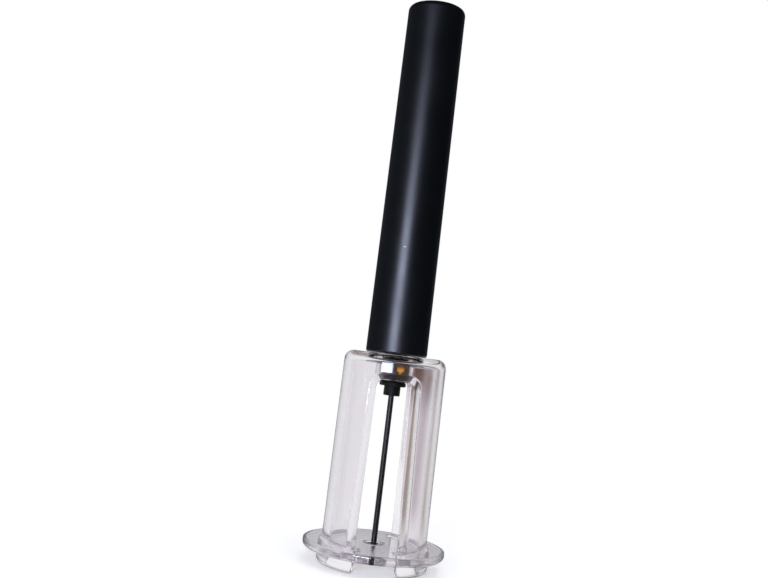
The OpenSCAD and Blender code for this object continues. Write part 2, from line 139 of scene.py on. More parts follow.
def per_mm(size):
    """A pattern scale for features of this size in millimetres."""
    return 1 / (size * mm)


print("a mid grey of #808080 is", round(linear("#808080")[0], 3), "in linear light")

# %% [markdown]
# ## Clear polystyrene
# The bottle holder and the sliding plate are injection moulded in clear polystyrene. It is hard
# and glossy, bends light strongly (IOR 1.59), and has a very faint grey-lilac cast, a little
# deeper in the plate. Moulded walls are never quite flat, so a slow ripple of about a centimetre
# bends what shows through them, and handling leaves a thin haze of fine scuffs. A Glass shader
# could give this look too. The Principled one is used because other programs read it.

# %% Clear polystyrene
def clear_polystyrene(name, pale, deep):
    """Clear plastic whose cast drifts between two colours."""
    made, tree, spot = new_material(name)
    flow = add(tree, "ShaderNodeTexNoise", {"Scale": per_mm(11), "Detail": 1.5}, {"Vector": spot})
    scuffs = add(tree, "ShaderNodeTexNoise", {"Scale": per_mm(2.5), "Detail": 5}, {"Vector": spot})
    cast = add(
        tree, "ShaderNodeMix",
        {"data_type": "RGBA", 6: linear(pale), 7: linear(deep)},
        {0: flow.outputs["Fac"]},
    )
    haze = add(
        tree, "ShaderNodeMapRange",
        {"From Min": 0.4, "From Max": 0.7, "To Min": 0.05, "To Max": 0.10},
        {"Value": scuffs.outputs["Fac"]},
    )
    ripple = add(
        tree, "ShaderNodeBump", {"Strength": 0.1, "Distance": 0.05 * mm},
        {"Height": flow.outputs["Fac"]},
    )
    skin = add(
        tree, "ShaderNodeBsdfPrincipled", {"IOR": 1.59, "Transmission Weight": 1.0},
        {"Base Color": cast.outputs[2], "Roughness": haze.outputs[0], "Normal": ripple.outputs[0]},
    )
    add(tree, "ShaderNodeOutputMaterial", (), {"Surface": skin.outputs[0]})
    return made


clear_plastic = clear_polystyrene("clear_polystyrene", "#f8f6f9", "#f4f2f6")
plate_plastic = clear_polystyrene("clear_polystyrene_plate", "#efecf1", "#e9e6ec")
print("materials:", clear_plastic.name, plate_plastic.name)

# %% [markdown]
# ## Moulded ABS of the handle
# The handle is black ABS from a mould with a fine spark-eroded grain, which makes it satin and
# spreads the window's image into one soft streak. The grain is about 0.1 mm wide on the real one,
# and is drawn at 0.6 mm so that it shows. Hands polish it in patches, and use has left one small
# pale nick on its front. The nick is too shallow to model, so it is a pale spot in the colour.

# %% Satin black ABS
def satin_abs():
    """Black plastic with a grain, patches of wear and one nick."""
    made, tree, spot = new_material("satin_black_abs")
    grain = add(tree, "ShaderNodeTexNoise", {"Scale": per_mm(0.6), "Detail": 3}, {"Vector": spot})
    patches = add(tree, "ShaderNodeTexNoise", {"Scale": per_mm(14), "Detail": 3}, {"Vector": spot})
    wear = add(
        tree, "ShaderNodeMapRange",
        {"From Min": 0.35, "From Max": 0.65, "To Min": 0.32, "To Max": 0.38},
        {"Value": patches.outputs["Fac"]},
    )
    nick_at = Vector((-2.2, -10.6, 112.0)) * mm
    nick_squeeze = (1.0, 1.0, 2.2)
    nick_core, nick_rim = 0.25 * mm, 0.7 * mm
    from_nick = add(
        tree, "ShaderNodeVectorMath", {"operation": "SUBTRACT", 1: nick_at}, {0: spot}
    )
    stretched = add(
        tree, "ShaderNodeVectorMath", {"operation": "MULTIPLY", 1: nick_squeeze},
        {0: from_nick.outputs[0]},
    )
    reach = add(
        tree, "ShaderNodeVectorMath", {"operation": "LENGTH"}, {0: stretched.outputs[0]}
    )
    nick = add(
        tree, "ShaderNodeMapRange",
        {"From Min": nick_core, "From Max": nick_rim, "To Min": 1.0, "To Max": 0.0},
        {"Value": reach.outputs["Value"]},
    )
    black = add(
        tree, "ShaderNodeMix",
        {"data_type": "RGBA", 6: linear("#040607"), 7: linear("#07090c")},
        {0: patches.outputs["Fac"]},
    )
    colour = add(
        tree, "ShaderNodeMix", {"data_type": "RGBA", 7: linear("#8d93a3")},
        {0: nick.outputs[0], 6: black.outputs[2]},
    )
    skin_grain = add(
        tree, "ShaderNodeBump", {"Strength": 0.5, "Distance": 0.03 * mm},
        {"Height": grain.outputs["Fac"]},
    )
    skin = add(
        tree, "ShaderNodeBsdfPrincipled", {"IOR": 1.53},
        {"Base Color": colour.outputs[2], "Roughness": wear.outputs[0],
         "Normal": skin_grain.outputs[0]},
    )
    add(tree, "ShaderNodeOutputMaterial", (), {"Surface": skin.outputs[0]})
    return made


handle_plastic = satin_abs()
print("material:", handle_plastic.name)

# %% [markdown]
# ## Small black parts
# The hub, the nut and the pump's hidden plugs are black acetal, moulded smooth. The needle has a
# black non-stick coating, slightly speckled. Washers, rings and the bumper are black nitrile
# rubber, which looks dark blue-grey and dull. The guide bush is white acetal. One function makes
# them all, with the speckle's size and depth for each. Bare acetal and rubber have an IOR of
# about 1.5, but most of these pieces are seen through clear plastic that is pressed on them, which
# takes nearly all of their gloss away, so the black ones have a lower one.

# %% Black acetal, needle coating and rubber
def speckled(name, dark, light, rough, speckle, depth, ior):
    """speckle and depth are millimetres: how wide the specks are, and how deep."""
    made, tree, spot = new_material(name)
    dust = add(
        tree, "ShaderNodeTexNoise", {"Scale": per_mm(speckle), "Detail": 4}, {"Vector": spot}
    )
    colour = add(
        tree, "ShaderNodeMix", {"data_type": "RGBA", 6: linear(dark), 7: linear(light)},
        {0: dust.outputs["Fac"]},
    )
    sheen = add(
        tree, "ShaderNodeMapRange",
        {"From Min": 0.3, "From Max": 0.7, "To Min": rough - 0.05, "To Max": rough + 0.07},
        {"Value": dust.outputs["Fac"]},
    )
    relief = add(
        tree, "ShaderNodeBump", {"Strength": 0.3, "Distance": depth * mm},
        {"Height": dust.outputs["Fac"]},
    )
    skin = add(
        tree, "ShaderNodeBsdfPrincipled", {"IOR": ior},
        {"Base Color": colour.outputs[2], "Roughness": sheen.outputs[0],
         "Normal": relief.outputs[0]},
    )
    add(tree, "ShaderNodeOutputMaterial", (), {"Surface": skin.outputs[0]})
    return made


black_acetal = speckled("black_acetal", "#040506", "#07080a", 0.54, 1.5, 0.01, 1.33)
needle_coating = speckled("non_stick_coating", "#060707", "#0c0d0e", 0.30, 0.5, 0.01, 1.45)
nitrile_rubber = speckled("nitrile_rubber", "#14181d", "#1b2026", 0.55, 0.8, 0.02, 1.2)
white_acetal = speckled("white_acetal", "#d6d5cd", "#dddcd5", 0.35, 2.0, 0.01, 1.48)
print("materials:", black_acetal.name, needle_coating.name, nitrile_rubber.name, white_acetal.name)

# %% [markdown]
# ## Metals
# The valve body, its ball and spring and the piston's screw are nickel plated, the small plug is
# bare brass, and the rod and the barrel are drawn aluminium. All are turned or drawn, so their
# fine tool marks run in rings or lengthways: a noise that is squeezed in one direction gives them.
# An anisotropic shader would stretch the highlights too, but it shows no marks close up.

# %% Nickel, brass and aluminium
def worked_metal(name, dark, light, rough, squeeze, mark):
    """squeeze shapes the marks: (1, 1, 6) gives rings round z, (2, 2, 0.05) lines along z."""
    made, tree, spot = new_material(name)
    along = add(tree, "ShaderNodeVectorMath", {"operation": "MULTIPLY", 1: squeeze}, {0: spot})
    marks = add(
        tree, "ShaderNodeTexNoise", {"Scale": per_mm(mark), "Detail": 3},
        {"Vector": along.outputs[0]},
    )
    colour = add(
        tree, "ShaderNodeMix", {"data_type": "RGBA", 6: linear(dark), 7: linear(light)},
        {0: marks.outputs["Fac"]},
    )
    sheen = add(
        tree, "ShaderNodeMapRange",
        {"From Min": 0.3, "From Max": 0.7, "To Min": rough * 0.8, "To Max": rough * 1.25},
        {"Value": marks.outputs["Fac"]},
    )
    relief = add(
        tree, "ShaderNodeBump", {"Strength": 0.15, "Distance": 0.01 * mm},
        {"Height": marks.outputs["Fac"]},
    )
    skin = add(
        tree, "ShaderNodeBsdfPrincipled", {"Metallic": 1.0},
        {"Base Color": colour.outputs[2], "Roughness": sheen.outputs[0],
         "Normal": relief.outputs[0]},
    )
    add(tree, "ShaderNodeOutputMaterial", (), {"Surface": skin.outputs[0]})
    return made


nickel_plate = worked_metal("nickel_plate", "#c2bfbb", "#ceccca", 0.10, (1, 1, 6), 1.0)
turned_brass = worked_metal("turned_brass", "#c08a2e", "#dcae4c", 0.14, (3, 3, 3), 1.2)
drawn_aluminium = worked_metal("drawn_aluminium", "#c1c3c7", "#c9cbce", 0.28, (2, 2, 0.05), 0.8)
print("materials:", nickel_plate.name, turned_brass.name, drawn_aluminium.name)

# %% [markdown]
# ## Tools for the clear mouldings
# A mould leaves every edge of a clear part slightly round, and on clear plastic each round edge
# shows as a bright or dark line, while a faceted wall shows as stripes. The CAD solids have sharp
# edges and coarse facets, so the two clear parts are made again. The holder could be a tube with
# its windows cut by a boolean and its edges bevelled. But the cut leaves long thin faces, on which
# a bevel makes spikes, and clear plastic shows every one of them. So it is made from nets of fine
# faces: a net is a primitive grid whose points are put in place, and the nets are then sewn
# together. Points are written in millimetres.

# %% Arcs, bends and nets
crease = math.radians(38)


def arc(centre_r, centre_z, radius, start, stop, steps):
    """Points (r, z) in millimetres on an arc, with the angles in degrees."""
    turns = [math.radians(start + (stop - start) * i / steps) for i in range(steps + 1)]
    return [(centre_r + radius * math.cos(t), centre_z + radius * math.sin(t)) for t in turns]


def between(first, last, share):
    """The point at this share of the way, as a vector."""
    return Vector(first) * (1 - share) + Vector(last) * share


def bend(before, corner, after, reach, steps):
    """Points that round a corner, from `reach` before it to `reach` after it."""
    corner = Vector(corner)
    first = corner + (Vector(before) - corner).normalized() * reach
    last = corner + (Vector(after) - corner).normalized() * reach
    shares = [i / steps for i in range(steps + 1)]
    return [between(between(first, corner, t), between(corner, last, t), t) for t in shares]


def net(name, rows):
    """A grid of faces through rows of points in millimetres."""
    bpy.ops.object.select_all(action="DESELECT")
    bpy.ops.mesh.primitive_grid_add(
        x_subdivisions=len(rows[0]) - 1, y_subdivisions=len(rows) - 1, size=mm
    )
    made = bpy.context.object
    made.name = name
    points = [point for row in rows for point in row]
    assert len(points) == len(made.data.vertices)
    for corner, point in zip(made.data.vertices, points):
        corner.co = Vector(point) * mm
    return made


def sew(name, pieces):
    """Joins nets whose edges meet, merges their shared points and turns the faces outwards."""
    bpy.ops.object.select_all(action="DESELECT")
    for piece in pieces:
        piece.select_set(True)
    bpy.context.view_layer.objects.active = pieces[0]
    bpy.ops.object.join()
    work = bpy.context.object
    work.name = name
    bpy.ops.object.mode_set(mode="EDIT")
    bpy.ops.mesh.select_all(action="SELECT")
    bpy.ops.mesh.remove_doubles(threshold=0.004 * mm)
    bpy.ops.mesh.dissolve_degenerate(threshold=0.001 * mm)
    bpy.ops.mesh.select_all(action="SELECT")
    bpy.ops.mesh.normals_make_consistent(inside=False)
    bpy.ops.mesh.select_all(action="DESELECT")
    bpy.ops.mesh.select_mode(type="EDGE")
    bpy.ops.mesh.select_non_manifold()
    bpy.ops.object.mode_set(mode="OBJECT")
    open_edges = sum(edge.select for edge in work.data.edges)
    bpy.ops.object.mode_set(mode="EDIT")
    bpy.ops.mesh.select_mode(type="VERT")
    bpy.ops.mesh.select_all(action="DESELECT")
    bpy.ops.object.mode_set(mode="OBJECT")
    bpy.ops.object.shade_smooth_by_angle(angle=crease)
    print(name, "faces:", len(work.data.polygons), "open edges:", open_edges)
    return work


print("a quarter arc of 2 mm has", len(arc(0, 0, 2, 0, 90, 4)), "points in four steps")

# %% [markdown]
# ## Bottle holder: the top
# One clear moulding: a round top plate with a soft shoulder, two curved wings that end in lips,
# and a socket that hangs under the plate and holds the valve. The top is round, so it is one
# profile turned about the axis. Faces that only rest on each other keep a film of air between them,
# which mirrors light inside clear plastic, so the faces that carry the handle and the plate sink by
# a hair. The nut, the valve, the washer and the gasket are pressed on the plastic and show black
# or bright through it, so there the plastic laps over them by a hair.

# %% Turn the top of the holder
# All in millimetres: first the air film and the lap, then what the profile passes on its way from
# the shoulder inwards, down the bore, out under the socket and up to the ceiling.
air = 0.05
lap = 0.03
holder_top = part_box("bottle_holder")[1].z / mm
lip_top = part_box("ejector_plate")[0].z / mm
nut_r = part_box("rod_nut")[1].x / mm
washer_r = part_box("socket_washer")[1].x / mm
outer_high_r, inner_high_r = 18.15, 15.65
shoulder_r = 3.3
shoulder_z = holder_top - air - shoulder_r
top_flat_r = 6.9
top_dip = 0.3
nut_seat_z = 73.0
sleeve_r, sleeve_low_z = 5.55, 72.25
socket_bore_r, socket_r = 5.6, 6.7
washer_top_z, washer_seat_z = 67.25, 66.0
shank_r = 3.3
gasket_z = 65.0
chamfer = 0.1
socket_low_round, socket_high_round = 0.5, 0.3
inner_ceiling_z = 71.9
ceiling_round = 1.2
ceiling_edge_r = inner_high_r - ceiling_round
inner_top_z = 70.7
socket_top = (socket_r, inner_ceiling_z)
shoulder_steps, ceiling_steps = 24, 10
top_profile = (
    arc(outer_high_r - shoulder_r, shoulder_z, shoulder_r, 0, 90, shoulder_steps)
    + [(top_flat_r, holder_top - air), (nut_r - lap, holder_top - top_dip)]
    + [(nut_r - lap, nut_seat_z + lap), (sleeve_r - lap, nut_seat_z + lap)]
    + [(sleeve_r - lap, sleeve_low_z), (socket_bore_r, sleeve_low_z - chamfer)]
    + [(socket_bore_r, washer_top_z), (washer_r - lap, washer_top_z - chamfer)]
    + [(washer_r - lap, washer_seat_z + lap), (shank_r, washer_seat_z + lap)]
    + [(shank_r, gasket_z - lap)]
    + [tuple(p) for p in bend(
        (shank_r, gasket_z - lap), (socket_r, gasket_z - lap), socket_top, socket_low_round, 5
    )]
    + [tuple(p) for p in bend(
        (socket_r, gasket_z), socket_top, (ceiling_edge_r, inner_ceiling_z), socket_high_round, 3
    )]
    + arc(ceiling_edge_r, inner_top_z, ceiling_round, 90, 0, ceiling_steps)
)
turn_steps = 180


def turned_row(angle):
    """The profile at this angle round the axis."""
    return [(r * math.sin(angle), -r * math.cos(angle), z) for r, z in top_profile]


holder_head = net("holder_head", [
    turned_row(2 * math.pi * i / turn_steps) for i in range(turn_steps + 1)
])
print("holder head:", len(top_profile), "points in the profile,", turn_steps, "steps round")

# %% [markdown]
# ## Bottle holder: the wings
# Each window has slightly drafted sides and round upper corners, and its edge flares out across
# the wall, so that a thumb finds the plate. The net of a wall runs in ribs: each rib starts at the
# middle of a wing's outer face, bends round the window's edge and ends at the middle of the inner
# face. So the soft edge of the window follows its outline without a step. Below are the wall, the
# foot with its lip, and the two arches of the window, the inner and the flared one.

# %% Walls, lips and the window's outline
# All in millimetres. "low" is at the ledge that the plate rests on, "high" under the shoulder.
quarter_turn = math.pi / 2
ledge_z = lip_top - air
outer_low_r, inner_low_r = 18.5, 16.0
foot_corner = 2.0
window_low_half, window_draft = 7.0, 0.65
arch_start_z = 62.6
sole_r = 17.4
lip_r, lip_round, lip_edge = 19.6, 1.5, 0.3
sole_round = 0.8
round_steps = 8


def outer_r(z):
    """The wall's outer radius, which tapers upwards for the mould."""
    return outer_low_r + (outer_high_r - outer_low_r) * (z - ledge_z) / (shoulder_z - ledge_z)


def inner_r(z):
    """The wall's inner radius, with the same taper."""
    return inner_low_r + (inner_high_r - inner_low_r) * (z - ledge_z) / (inner_top_z - ledge_z)


def opening_half(z):
    """Half the window's width at the inner face, with the round corner of the foot below."""
    if z < foot_corner:
        drop = math.sqrt(foot_corner ** 2 - (foot_corner - z) ** 2)
        return window_low_half + foot_corner - drop
    return window_low_half - window_draft * (z - foot_corner) / (arch_start_z - foot_corner)


foot_outer = (
    [(sole_r, 0), (lip_r - lip_round, 0)]
    + arc(lip_r - lip_round, lip_round, lip_round, -90, 0, round_steps)[1:]
    + [tuple(p) for p in bend(
        (lip_r, lip_round), (lip_r, ledge_z), (outer_low_r, ledge_z), lip_edge, 3
    )]
    + [(outer_low_r, ledge_z)]
)
foot_inner = (
    [(sole_r, 0), (inner_low_r + sole_round, 0)]
    + arc(inner_low_r + sole_round, sole_round, sole_round, -90, -180, round_steps)[1:]
    + [(inner_low_r, sole_round + (ledge_z - sole_round) * i / 5) for i in range(1, 6)]
)
print("foot profile:", len(foot_outer), "points outside,", len(foot_inner), "inside")

# %% [markdown]
# An arch goes round a corner, along the roof and round the other corner. The window has two, a
# small one inside and a flared one outside. A point of the outer edge lies on the line from the one
# to the other, at the share that the wall's outer radius asks for at that height.

# %% Arches of the window
arch_half, arch_top, arch_corner = 6.35, 65.6, 3.0
flare_low, flare_high, flare_top, flare_corner = 9.94, 8.65, 67.7, 4.15
flare_z = flare_top - flare_corner
flare_inner_r, flare_depth = 16.15, 2.0
wall_steps, side_steps, corner_steps, roof_steps = 12, 12, 40, 34
arch_steps = 2 * corner_steps + roof_steps


def flare_share(z):
    """How far the wall's outer face is on the way from the inner arch to the flared one."""
    return (outer_r(z) - flare_inner_r) / flare_depth


def arch_point(half, top, corner, step):
    """A point (x, z) of the window's arch and the direction that leads away from the window."""
    if step > arch_steps / 2:
        point, out = arch_point(half, top, corner, arch_steps - step)
        return (-point[0], point[1]), (-out[0], out[1])
    if step <= corner_steps:
        turn = quarter_turn * step / corner_steps
        out = (math.cos(turn), math.sin(turn))
        return (half - corner + corner * out[0], top - corner + corner * out[1]), out
    along = (step - corner_steps) / (roof_steps / 2)
    return ((half - corner) * (1 - along), top), (0.0, 1.0)


def rim_of(step):
    """Where the wall's outer border is: up the wing's middle and round under the shoulder."""
    if step > arch_steps / 2:
        angle, share = rim_of(arch_steps - step)
        return -angle, share
    if step <= side_steps:
        return quarter_turn, step / side_steps
    return quarter_turn * (1 - (step - side_steps) / (arch_steps / 2 - side_steps)), 1.0


print("steps over the arch:", arch_steps)

# %% [markdown]
# A rib in the wall flares from the inner edge to the outer one. A rib in the foot runs over the lip
# and is cut straight, and the flat step between the two kinds is the ledge that the plate rests on.

# %% Ribs
face_steps = 28
edge_steps = 5
flare_steps = 10
ledge_steps = 7
cut_steps = 3
outer_reach, cut_reach, inner_reach = 0.45, 0.4, 0.35


def on_round(r, angle, z):
    """The point at this radius, angle round the axis and height."""
    return Vector((r * math.sin(angle), -r * math.cos(angle), z))


def sweep(first, last, steps):
    """Points on the wall from one (r, angle, z) to another, without the first."""
    return [on_round(*between(first, last, i / steps)) for i in range(1, steps + 1)]


def evenly(first, last, steps):
    """Points on a straight line, without the first."""
    return [between(first, last, i / steps) for i in range(1, steps + 1)]


def on_wall(radius_at, spot):
    """The (r, angle, z) of a wall at this (x, z)."""
    r = radius_at(spot[1])
    return (r, math.asin(spot[0] / r), spot[1])


def wall_rib(inner, outer, out, outer_far, inner_far):
    """inner, outer: the window's two edges (x, z) here. out: the way that leads off the window."""
    edge = between(inner, outer, flare_share(outer[1]))
    near = on_wall(outer_r, edge + Vector(out) * outer_reach)
    corner = on_round(*on_wall(outer_r, edge))
    inner_corner = on_round(*on_wall(inner_r, inner))
    inner_near = on_wall(inner_r, Vector(inner) + Vector(out) * inner_reach)
    points = [on_round(*outer_far)] + sweep(outer_far, near, face_steps)
    points += bend(points[-1], corner, inner_corner, outer_reach, edge_steps)[1:]
    turn_in = bend(corner, inner_corner, on_round(*inner_near), inner_reach, edge_steps)
    points += evenly(points[-1], turn_in[0], flare_steps)
    points += turn_in[1:-1] + [on_round(*inner_near)]
    return points + sweep(inner_near, inner_far, face_steps)


def foot_rib(outer, inner):
    """outer, inner: the foot's profile (r, z) at this rib."""
    ledge_edge = between(
        (opening_half(ledge_z), ledge_z), (flare_low, ledge_z), flare_share(ledge_z)
    )
    near = (outer[0], math.asin((ledge_edge[0] + outer_reach) / outer_r(ledge_z)), outer[1])
    half, inner_half = opening_half(outer[1]), opening_half(inner[1])
    cut_near = (outer[0], math.asin((half + cut_reach) / outer[0]), outer[1])
    corner = on_round(outer[0], math.asin(half / outer[0]), outer[1])
    inner_corner = on_round(inner[0], math.asin(inner_half / inner[0]), inner[1])
    inner_near = (inner[0], math.asin((inner_half + inner_reach) / inner[0]), inner[1])
    outer_far = (outer[0], quarter_turn, outer[1])
    inner_far = (inner[0], quarter_turn, inner[1])
    points = [on_round(*outer_far)] + sweep(outer_far, near, face_steps)
    points += sweep(near, cut_near, ledge_steps)
    points += bend(points[-1], corner, inner_corner, cut_reach, edge_steps)[1:]
    turn_in = bend(corner, inner_corner, on_round(*inner_near), inner_reach, edge_steps)
    points += evenly(points[-1], turn_in[0], cut_steps)
    points += turn_in[1:-1] + [on_round(*inner_near)]
    return points + sweep(inner_near, inner_far, face_steps)


print("points in a rib of the foot:", len(foot_rib(foot_outer[3], foot_inner[3])))

# %% [markdown]
# The ribs of one side go up from the sole to the arch, the arch goes over the window, and the
# other side is the same mirrored. So is the wall at the back. Where the walls meet each other and
# the head, their points lie on each other, so sewing them leaves one closed skin.

# %% Sew the holder
def side_ribs():
    """The ribs of the right side, from the sole up to the start of the arch."""
    ribs = [foot_rib(outer, inner) for outer, inner in zip(foot_outer, foot_inner)]
    # The first rib runs out and back along the middle of the sole, which closes the sole.
    half_way = len(ribs[0]) // 2 + 1
    ribs[0] = ribs[0][:half_way] + ribs[0][half_way - 2::-1]
    for i in range(wall_steps):
        share = i / wall_steps
        inner_z = ledge_z + (arch_start_z - ledge_z) * share
        outer_z = ledge_z + (flare_z - ledge_z) * share
        outer_half = flare_low + (flare_high - flare_low) * share
        edge_z = inner_z + (outer_z - inner_z) * flare_share(outer_z)
        ribs.append(wall_rib(
            (opening_half(inner_z), inner_z), (outer_half, outer_z), (1.0, 0.0),
            (outer_r(edge_z), quarter_turn, edge_z), (inner_r(inner_z), quarter_turn, inner_z),
        ))
    return ribs


def arch_ribs():
    """The ribs over the window, from its right side to its left."""
    ribs = []
    start_z = arch_start_z + (flare_z - arch_start_z) * flare_share(flare_z)
    for step in range(arch_steps + 1):
        inner, out = arch_point(arch_half, arch_top, arch_corner, step)
        outer = arch_point(flare_high, flare_top, flare_corner, step)[0]
        angle, share = rim_of(step)
        outer_z = start_z + (shoulder_z - start_z) * share
        inner_z = arch_start_z + (inner_top_z - arch_start_z) * share
        ribs.append(wall_rib(
            inner, outer, out,
            (outer_r(outer_z), angle, outer_z), (inner_r(inner_z), angle, inner_z),
        ))
    return ribs


right_ribs = side_ribs()
left_ribs = [[(-p[0], p[1], p[2]) for p in rib] for rib in reversed(right_ribs)]
front_ribs = right_ribs + arch_ribs() + left_ribs
back_ribs = [[(p[0], -p[1], p[2]) for p in rib] for rib in front_ribs]
holder_clear = sew("holder_clear", [
    holder_head, net("front_wall", front_ribs), net("back_wall", back_ribs)
])

# %% [markdown]
# ## Sliding plate
# A flat clear ring plate with a hole for the needle. Two curved slots let the wings pass, and the
# two webs between them run through the windows. It is turned like work on a lathe, by a spin of
# its outline, and the slots are bitten out by a boolean.

# %% Lathe and bite
lathe_steps = 240


def lathe(name, outline):
    """Spins a closed outline of (r, z) points, set out on a circle's points, round the z axis."""
    bpy.ops.object.select_all(action="DESELECT")
    bpy.ops.mesh.primitive_circle_add(vertices=len(outline), radius=mm)
    work = bpy.context.object
    work.name = name
    for corner, (r, z) in zip(work.data.vertices, outline):
        corner.co = Vector((r, 0, z)) * mm
    bpy.ops.object.mode_set(mode="EDIT")
    bpy.ops.mesh.select_all(action="SELECT")
    bpy.ops.mesh.spin(steps=lathe_steps, angle=2 * math.pi, center=(0, 0, 0), axis=(0, 0, 1))
    bpy.ops.mesh.select_all(action="SELECT")
    bpy.ops.mesh.remove_doubles(threshold=0.001 * mm)
    bpy.ops.mesh.normals_make_consistent(inside=False)
    bpy.ops.object.mode_set(mode="OBJECT")
    print(name, "spun:", len(work.data.polygons), "faces")
    return work


def finish_modifier(work, modifier):
    """Applies the modifier to the work."""
    bpy.ops.object.select_all(action="DESELECT")
    bpy.context.view_layer.objects.active = work
    work.select_set(True)
    bpy.ops.object.modifier_apply(modifier=modifier.name)
    work.select_set(False)


def bite(work, tool):
    """Cuts the tool out of the work and throws the tool away."""
    cut = work.modifiers.new("bite", "BOOLEAN")
    cut.operation = "DIFFERENCE"
    cut.solver = "EXACT"
    cut.object = tool
    finish_modifier(work, cut)
    bpy.data.objects.remove(tool)
    print("bitten", work.name + ":", len(work.data.polygons), "faces")


# %% [markdown]
# The plate's rim is bevelled below and round above. The slot cutter is a ring that is as wide as a
# slot, with a bar taken out of it where the webs stay.

# %% Spin and cut the plate
plate_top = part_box("ejector_plate")[1].z / mm
plate_r, rim_bevel, rim_round = 24.98, 0.88, 0.5
needle_hole_r = 3.3
slot_inner_r, slot_outer_r = 15.3, 18.85
overrun = 1
web_bar = (11.9 * mm, 60 * mm, 20 * mm)
web_bar_z = 6.5 * mm
plate_clear = lathe("plate_clear", [
    (needle_hole_r, lip_top), (plate_r - rim_bevel, lip_top), (plate_r, lip_top + rim_bevel),
    *arc(plate_r - rim_round, plate_top - rim_round, rim_round, 0, 90, 6),
    (needle_hole_r, plate_top),
])
slots = lathe("slot_cutter", [
    (slot_inner_r, lip_top - overrun), (slot_outer_r, lip_top - overrun),
    (slot_outer_r, plate_top + overrun), (slot_inner_r, plate_top + overrun),
])
bpy.ops.object.select_all(action="DESELECT")
bpy.ops.mesh.primitive_cube_add(size=1, location=(0, 0, web_bar_z), scale=web_bar)
bpy.ops.object.transform_apply(location=True, rotation=True, scale=True)
bite(slots, bpy.context.object)
bite(plate_clear, slots)

# %% [markdown]
# Where the slots meet the rims there are many short edges, over which a bevel trips. A voxel
# remesh turns the plate into an even net of small faces, which rounds every edge alike, and a
# little smoothing takes the steps out of the edges.

# %% Soft edges of the plate
even_net = plate_clear.modifiers.new("even_net", "REMESH")
even_net.mode = "VOXEL"
even_net.voxel_size = 0.30 * mm
even_net.use_smooth_shade = True
finish_modifier(plate_clear, even_net)
soft_edges = plate_clear.modifiers.new("soft_edges", "SMOOTH")
soft_edges.factor = 0.5
soft_edges.iterations = 5
finish_modifier(plate_clear, soft_edges)
print("plate faces:", len(plate_clear.data.polygons))

# %% [markdown]
# The two clear pieces get their plastic and take the places of their CAD nodes. The holder stays
# with the body that stands on the table, and the plate slides up and down with its own.

# %% Finish and place of the clear parts
for piece, node_name, body, finish in (
    (holder_clear, "bottle_holder", "holder", clear_plastic),
    (plate_clear, "ejector_plate", "ejector", plate_plastic),
):
    piece.data.materials.clear()
    piece.data.materials.append(finish)
    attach(piece, body)
    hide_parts(node_name)
    print(piece.name, "rides on", body)

# %% [markdown]
# ## Valve spring
# The check valve's ball sits on a coil of nickel-plated steel wire, four turns wound on a mandrel,
# and squeezes it by 0.8 mm when the valve opens. The CAD solid can't be squeezed here, so the coil
# is wound again. It could be a curve with a round bevel. The Screw modifier is used because it
# winds as a mandrel does: a small circle is swept up a screw, and its ends are then closed.

# %% Wind the spring
spring_low, spring_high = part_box("valve_spring")
wire_d = 0.35 * mm
wire_sides = 12
coil_turns = 4
coil_steps = 32
coil_r = spring_high.x - wire_d / 2
coil_rise = spring_high.z - spring_low.z - wire_d
bpy.ops.object.select_all(action="DESELECT")
bpy.ops.mesh.primitive_circle_add(
    vertices=wire_sides, radius=wire_d / 2, location=(coil_r, 0, spring_low.z + wire_d / 2),
    rotation=(quarter_turn, 0, 0),
)
spring_coil = bpy.context.object
spring_coil.name = "spring_coil"
bpy.ops.object.transform_apply(location=True, rotation=True, scale=True)
wind = spring_coil.modifiers.new("wind", "SCREW")
wind.iterations = coil_turns
wind.screw_offset = coil_rise / coil_turns
wind.steps = wind.render_steps = coil_steps
finish_modifier(spring_coil, wind)
bpy.context.view_layer.objects.active = spring_coil
bpy.ops.object.mode_set(mode="EDIT")
bpy.ops.mesh.select_all(action="SELECT")
bpy.ops.mesh.fill_holes(sides=0)
bpy.ops.mesh.select_all(action="SELECT")
bpy.ops.mesh.normals_make_consistent(inside=False)
bpy.ops.object.mode_set(mode="OBJECT")
spring_coil.data.materials.append(nickel_plate)
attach(spring_coil, "holder")
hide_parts("valve_spring")
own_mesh(spring_coil)
print("spring:", coil_turns, "turns, faces:", len(spring_coil.data.polygons))

# %% [markdown]
# ## Finishes on the CAD nodes
# The other parts already have their true shape, so each only gets the finish that belongs to the
# material slot that its CAD node names.

# %% Finishes by material slot
finish_of_slot = {
    "clear_plastic": clear_plastic,
    "handle_plastic": handle_plastic,
    "black_plastic": black_acetal,
    "needle_coating": needle_coating,
    "black_rubber": nitrile_rubber,
    "nickel": nickel_plate,
    "brass": turned_brass,
    "aluminium": drawn_aluminium,
    "white_plastic": white_acetal,
}
for part in frame["record"]["subparts"]:
    owner = nodes[part["node"]]
    for index in range(len(owner.material_slots)):
        owner.material_slots[index].material = finish_of_slot[part["material_slot"]]

# %% [markdown]
# ## The studio floor
# The tool stands on a plain pale sheet that keeps a faint shadow of it. For the camera the paper
# glows a little, so that it reads as white, and further out it fades into the white background.
# The black handle mirrors a much darker floor, because a white one would turn its sides grey.

